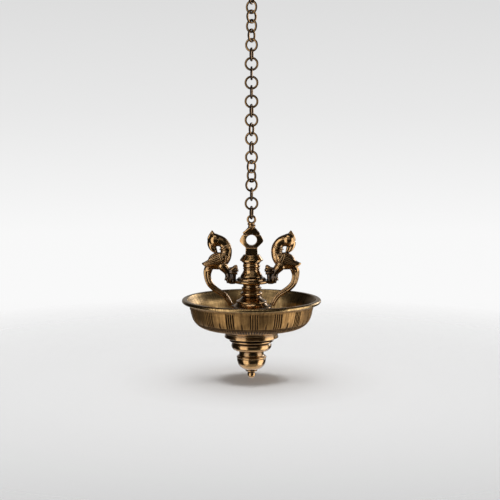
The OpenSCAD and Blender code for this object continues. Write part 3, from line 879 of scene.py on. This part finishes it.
def tail_cuts(flat, facing):
    """Depth of the grooves along the tail."""
    lengthwise, sideways, length = along_line(flat, TAIL)
    half = np.interp(lengthwise, np.linspace(0, length, len(TAIL_HALF)), TAIL_HALF)
    share = sideways / half
    on_tail = (lengthwise > TAIL_CUT_FROM) & (np.abs(share) < TAIL_EDGE) & (flat[:, 1] < TAIL_CUT_TOP)
    start = ramp(lengthwise - TAIL_CUT_FROM, TAIL_CUT_START)
    depth, at, width = MIDDLE_GROOVE
    groove = depth * dip(share - at, width)
    depth, at, width = EDGE_GROOVES
    groove = groove + depth * dip(np.abs(share) - at, width)
    return np.where(on_tail, groove * start * np.abs(facing) ** 0.5, 0)


def wing_cuts(flat, y):
    """Depth of the wing's feathers, and which points are on the wing."""
    axis = np.subtract(WING_TIP, WING_ROOT)
    reach = np.linalg.norm(axis)
    axis = axis / reach
    along = ((flat - WING_ROOT) @ axis) / reach
    across = (flat - WING_ROOT) @ np.array([-axis[1], axis[0]])
    half = np.interp(along, WING_AT, WING_HALF)
    share = across / half
    on_wing = (np.abs(y) > WING_SIDE) & (np.abs(share) < WING_EDGE) & (along > WING_FROM) & (along < 1)
    quills = ramp(along - QUILLS_FROM, QUILLS_START)
    feather = np.zeros(len(y))
    for line in QUILLS:
        feather = np.maximum(feather, QUILL_DEPTH * quills * dip((share - line) * half, QUILL_WIDTH))
    for row, edge in enumerate(FEATHER_ROWS):
        wave = ROW_WAVE * np.abs(np.sin((across / FEATHER_WIDE + row / 2) * math.pi))
        feather = np.maximum(feather, ROW_DEPTH * dip((along - edge - wave) * reach, ROW_WIDTH))
    return np.where(on_wing, feather, 0), on_wing


def neck_cuts(flat, y):
    """Depth of the scales on the neck."""
    lengthwise, sideways, _ = along_line(flat, NECK)
    row = lengthwise / SCALE_LONG
    whole = np.floor(row)
    cell = (np.arctan2(y, sideways) * NECK_R / SCALE_WIDE + 0.5 * (whole % 2)) % 1
    scallop = SCALE_EDGE + SCALE_BULGE * (1 - (2 * cell - 1) ** 2)
    scale = SCALE_DEPTH * dip((row - whole - scallop) * SCALE_LONG, SCALE_CUT)
    on_neck = (lengthwise > SCALES[0]) & (lengthwise < SCALES[1]) & (np.abs(sideways) < SCALES_SIDE)
    on_neck &= (flat[:, 0] < SCALES_REACH[0]) & (flat[:, 1] > SCALES_REACH[1])
    return np.where(on_neck, scale, 0)


def parrot_carving(points, normals):
    """Depth of the cuts on a parrot: tail grooves, feathers and scales."""
    flat, y = points[:, [0, 2]], points[:, 1]
    feathers, on_wing = wing_cuts(flat, y)
    carved = np.maximum(tail_cuts(flat, normals[:, 1]), feathers)
    return np.maximum(carved, np.where(on_wing, 0, neck_cuts(flat, y)))


def make_parrots():
    """The right parrot with its carving, and the left one as its mirror image."""
    points, faces = node_part("parrot_right")
    points = points - [FLANGE_R, 0, PIN_Z]
    bird = new_object("parrot_right_cast", *join_parts([(points, faces)] + parrot_parts()))
    melt(bird, PARROT_VOXEL, PARROT_SOFTENING)
    points, normals, _ = read_mesh(bird)
    cut = parrot_carving(points, normals)
    write_points(bird, points - normals * cut[:, None] + [FLANGE_R, 0, PIN_Z])
    claws = ramp(CLAW_EDGE[0] - points[:, 0], CLAW_FADE) * ramp(CLAW_EDGE[1] - points[:, 2], CLAW_FADE)
    claws *= ramp(points[:, 2] - CLAW_LOW, CLAW_LOW_FADE)
    mark_wear(bird, WEAR_PASSES, PARROT_WEAR, 1 - CLAW_DARK * claws)
    twin = bpy.data.objects.new("parrot_left_cast", bird.data.copy())
    bpy.context.scene.collection.objects.link(twin)
    points, _, _ = read_mesh(twin)
    write_points(twin, points * [-1, 1, 1])
    twin.data.flip_normals()
    finish_piece(bird, CAST, LAMP, "cast_brass", "parrot_right")
    finish_piece(twin, CAST, LAMP, "cast_brass", "parrot_left")


make_parrots()


# Stage, light and camera


# Light that the floor gives back evenly, so that the shadow on it stays open
FLOOR_GLOW = 0.1
FLOOR_GREY = 0.72
FLOOR_R = 750.0
FLOOR_RINGS = 24
FLOOR_SIDES = 96
# Distances from the axis, in metres, between which the floor fades out
FLOOR_FADE = (0.12, 0.5)


def make_floor():
    """A pale round floor just under the finial, which fades out at its edge and from below."""
    rings = np.linspace(1, FLOOR_R, FLOOR_RINGS)
    a = 2 * np.pi * np.arange(FLOOR_SIDES) / FLOOR_SIDES
    level = np.full((FLOOR_RINGS, FLOOR_SIDES), FLOOR_Z)
    points = np.stack([np.outer(rings, np.cos(a)), np.outer(rings, np.sin(a)), level], -1)
    faces = [face[::-1] for face in grid_faces(FLOOR_RINGS, FLOOR_SIDES)] + [list(range(FLOOR_SIDES))]
    floor = new_object("floor", points.reshape(-1, 3), faces)
    material, tree = new_material("pale_floor")
    place = add_node(tree, "ShaderNodeTexCoord").outputs["Object"]
    away, _, _ = round_place(tree, place)
    fade = map_range(tree, away, *FLOOR_FADE)
    under = add_node(tree, "ShaderNodeNewGeometry").outputs["Backfacing"]
    clear = math_node(tree, "MAXIMUM", fade, under)
    pale = add_node(tree, "ShaderNodeBsdfDiffuse", {"Color": (FLOOR_GREY, FLOOR_GREY, FLOOR_GREY, 1.0)})
    nothing = add_node(tree, "ShaderNodeBsdfTransparent")
    glow = add_node(tree, "ShaderNodeEmission", {"Strength": FLOOR_GLOW})
    lit = add_node(tree, "ShaderNodeAddShader", {0: pale.outputs[0], 1: glow.outputs[0]})
    mixed = add_node(tree, "ShaderNodeMixShader", {0: clear, 1: lit.outputs[0], 2: nothing.outputs[0]})
    add_node(tree, "ShaderNodeOutputMaterial", {"Surface": mixed.outputs[0]})
    floor.data.materials.append(material)
    floor.visible_glossy = False
    floor.visible_shadow = False


# The backdrop's greys, by height: the sine of the angle above the horizon, and the brightness there
BACKDROP = [(-0.30, 0.64), (-0.225, 0.84), (-0.15, 0.95), (-0.10, 0.94), (-0.01, 0.81), (0.07, 0.73)]
BACKDROP_LOW, BACKDROP_HIGH = -0.3, 0.1
# The room's brightness, and that of the part behind the lamp, from the edge to the middle of that part
ROOM_DIM = 0.015
ROOM_BACK = 0.35
BACK_EDGE = (0.7, 0.98)


def make_world():
    """A pale backdrop behind the lamp, and a dim room round it that its metal mirrors."""
    world = bpy.data.worlds.new("studio")
    bpy.context.scene.world = world
    world.use_nodes = True
    tree = world.node_tree
    tree.nodes.clear()
    way = add_node(tree, "ShaderNodeTexCoord").outputs["Generated"]
    axes = add_node(tree, "ShaderNodeSeparateXYZ", {"Vector": way})
    share = map_range(tree, axes.outputs["Z"], BACKDROP_LOW, BACKDROP_HIGH)
    shade = add_node(tree, "ShaderNodeValToRGB", {"Fac": share})
    stops = shade.color_ramp.elements
    stops.remove(stops[1])
    for index, (height, grey) in enumerate(BACKDROP):
        position = (height - BACKDROP_LOW) / (BACKDROP_HIGH - BACKDROP_LOW)
        stop = stops.new(position) if index else stops[0]
        stop.position = position
        stop.color = (grey, grey, grey, 1.0)
    backdrop = add_node(tree, "ShaderNodeBackground", {"Color": shade.outputs[0]})
    behind = map_range(tree, axes.outputs["Y"], *BACK_EDGE, ROOM_DIM, ROOM_BACK)
    room = add_node(tree, "ShaderNodeBackground", {"Color": (1.0, 1.0, 1.0, 1.0), "Strength": behind})
    seen = add_node(tree, "ShaderNodeLightPath").outputs["Is Camera Ray"]
    mixed = add_node(tree, "ShaderNodeMixShader", {0: seen, 1: room.outputs[0], 2: backdrop.outputs[0]})
    add_node(tree, "ShaderNodeOutputWorld", {"Surface": mixed.outputs[0]})


def softbox(name, azimuth, elevation, distance, size, radiance, for_metal):
    """An area light that looks at the lamp, for its metal or for the floor.

    Azimuth 0 is the camera's side and 90 the right.
    """
    data = bpy.data.lights.new(name, "AREA")
    data.shape = "RECTANGLE"
    data.size, data.size_y = size
    data.energy = radiance * math.pi * size[0] * size[1]
    light = bpy.data.objects.new(name, data)
    bpy.context.scene.collection.objects.link(light)
    a, e = math.radians(azimuth), math.radians(elevation)
    away = mathutils.Vector((math.cos(e) * math.sin(a), -math.cos(e) * math.cos(a), math.sin(e)))
    target = (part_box("bowl")[0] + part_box("bowl")[1]) / 2
    light.location = target + away * distance
    light.rotation_mode = "QUATERNION"
    light.rotation_quaternion = (-away).to_track_quat("-Z", "Y")
    light.visible_camera = False
    light.visible_glossy = for_metal
    light.visible_diffuse = not for_metal


# Lights for the metal: azimuth, elevation, distance, width and height, radiance
METAL_LIGHTS = {
    "right_box": (85, -10, 1.0, (0.9, 1.5), 2.2),
    "left_box": (-48, 0, 1.0, (0.8, 2.2), 1.7),
    "high_box": (138, 14, 1.2, (0.6, 0.5), 3.2),
    "front_box": (0, 40, 1.2, (1.4, 0.9), 0.26),
    "top_left_box": (-42, 74, 1.1, (0.4, 0.4), 1.8),
    "top_right_box": (30, 74, 1.1, (0.25, 0.25), 2.2),
    "below_box": (0, -62, 0.9, (1.2, 0.6), 0.32),
    "below_back_box": (180, -68, 0.9, (1.6, 1.2), 0.8),
}
# Lights for the floor, in the same way: a small key and a wide fill
KEY = "overhead"
FLOOR_LIGHTS = {
    KEY: (0, 90, 0.9, (0.3, 0.3), 16.5),
    "overhead_wide": (0, 90, 0.9, (1.8, 1.8), 0.9),
}
# The base and the parrots alone cast the compact shadow: the bowl would hide the whole floor from the key
CASTERS = ("base_collar", "base_drum", "base_cup", "finial", "parrot_left_cast", "parrot_right_cast")


def make_lights():
    """All lights, with the key's shadow limited to its casters."""
    for name, settings in METAL_LIGHTS.items():
        softbox(name, *settings, for_metal=True)
    for name, settings in FLOOR_LIGHTS.items():
        softbox(name, *settings, for_metal=False)
    shaded = bpy.data.collections.new("shaded_by")
    for name in CASTERS:
        shaded.objects.link(bpy.data.objects[name])
    bpy.data.objects[KEY].light_linking.blocker_collection = shaded


# Focal length and side of the picture in pixels, sensor width, place, and tilt below level in degrees
CAMERA_FOCAL = 1313.0
FRAME_SIDE = 500.0
SENSOR = 36.0
CAMERA_AT = (-1.37, -1186.2, RIM_Z + 181.5)
CAMERA_TILT = 6.585


def make_camera():
    """The camera, where the photo was taken from."""
    data = bpy.data.cameras.new("camera")
    data.sensor_width = SENSOR
    data.lens = SENSOR * CAMERA_FOCAL / FRAME_SIDE
    camera = bpy.data.objects.new("camera", data)
    bpy.context.scene.collection.objects.link(camera)
    camera.location = [v * MM for v in CAMERA_AT]
    camera.rotation_euler = (math.radians(90 - CAMERA_TILT), 0, 0)
    bpy.context.scene.camera = camera


make_floor()
make_world()
make_lights()
make_camera()
bpy.context.scene.view_settings.view_transform = "Standard"
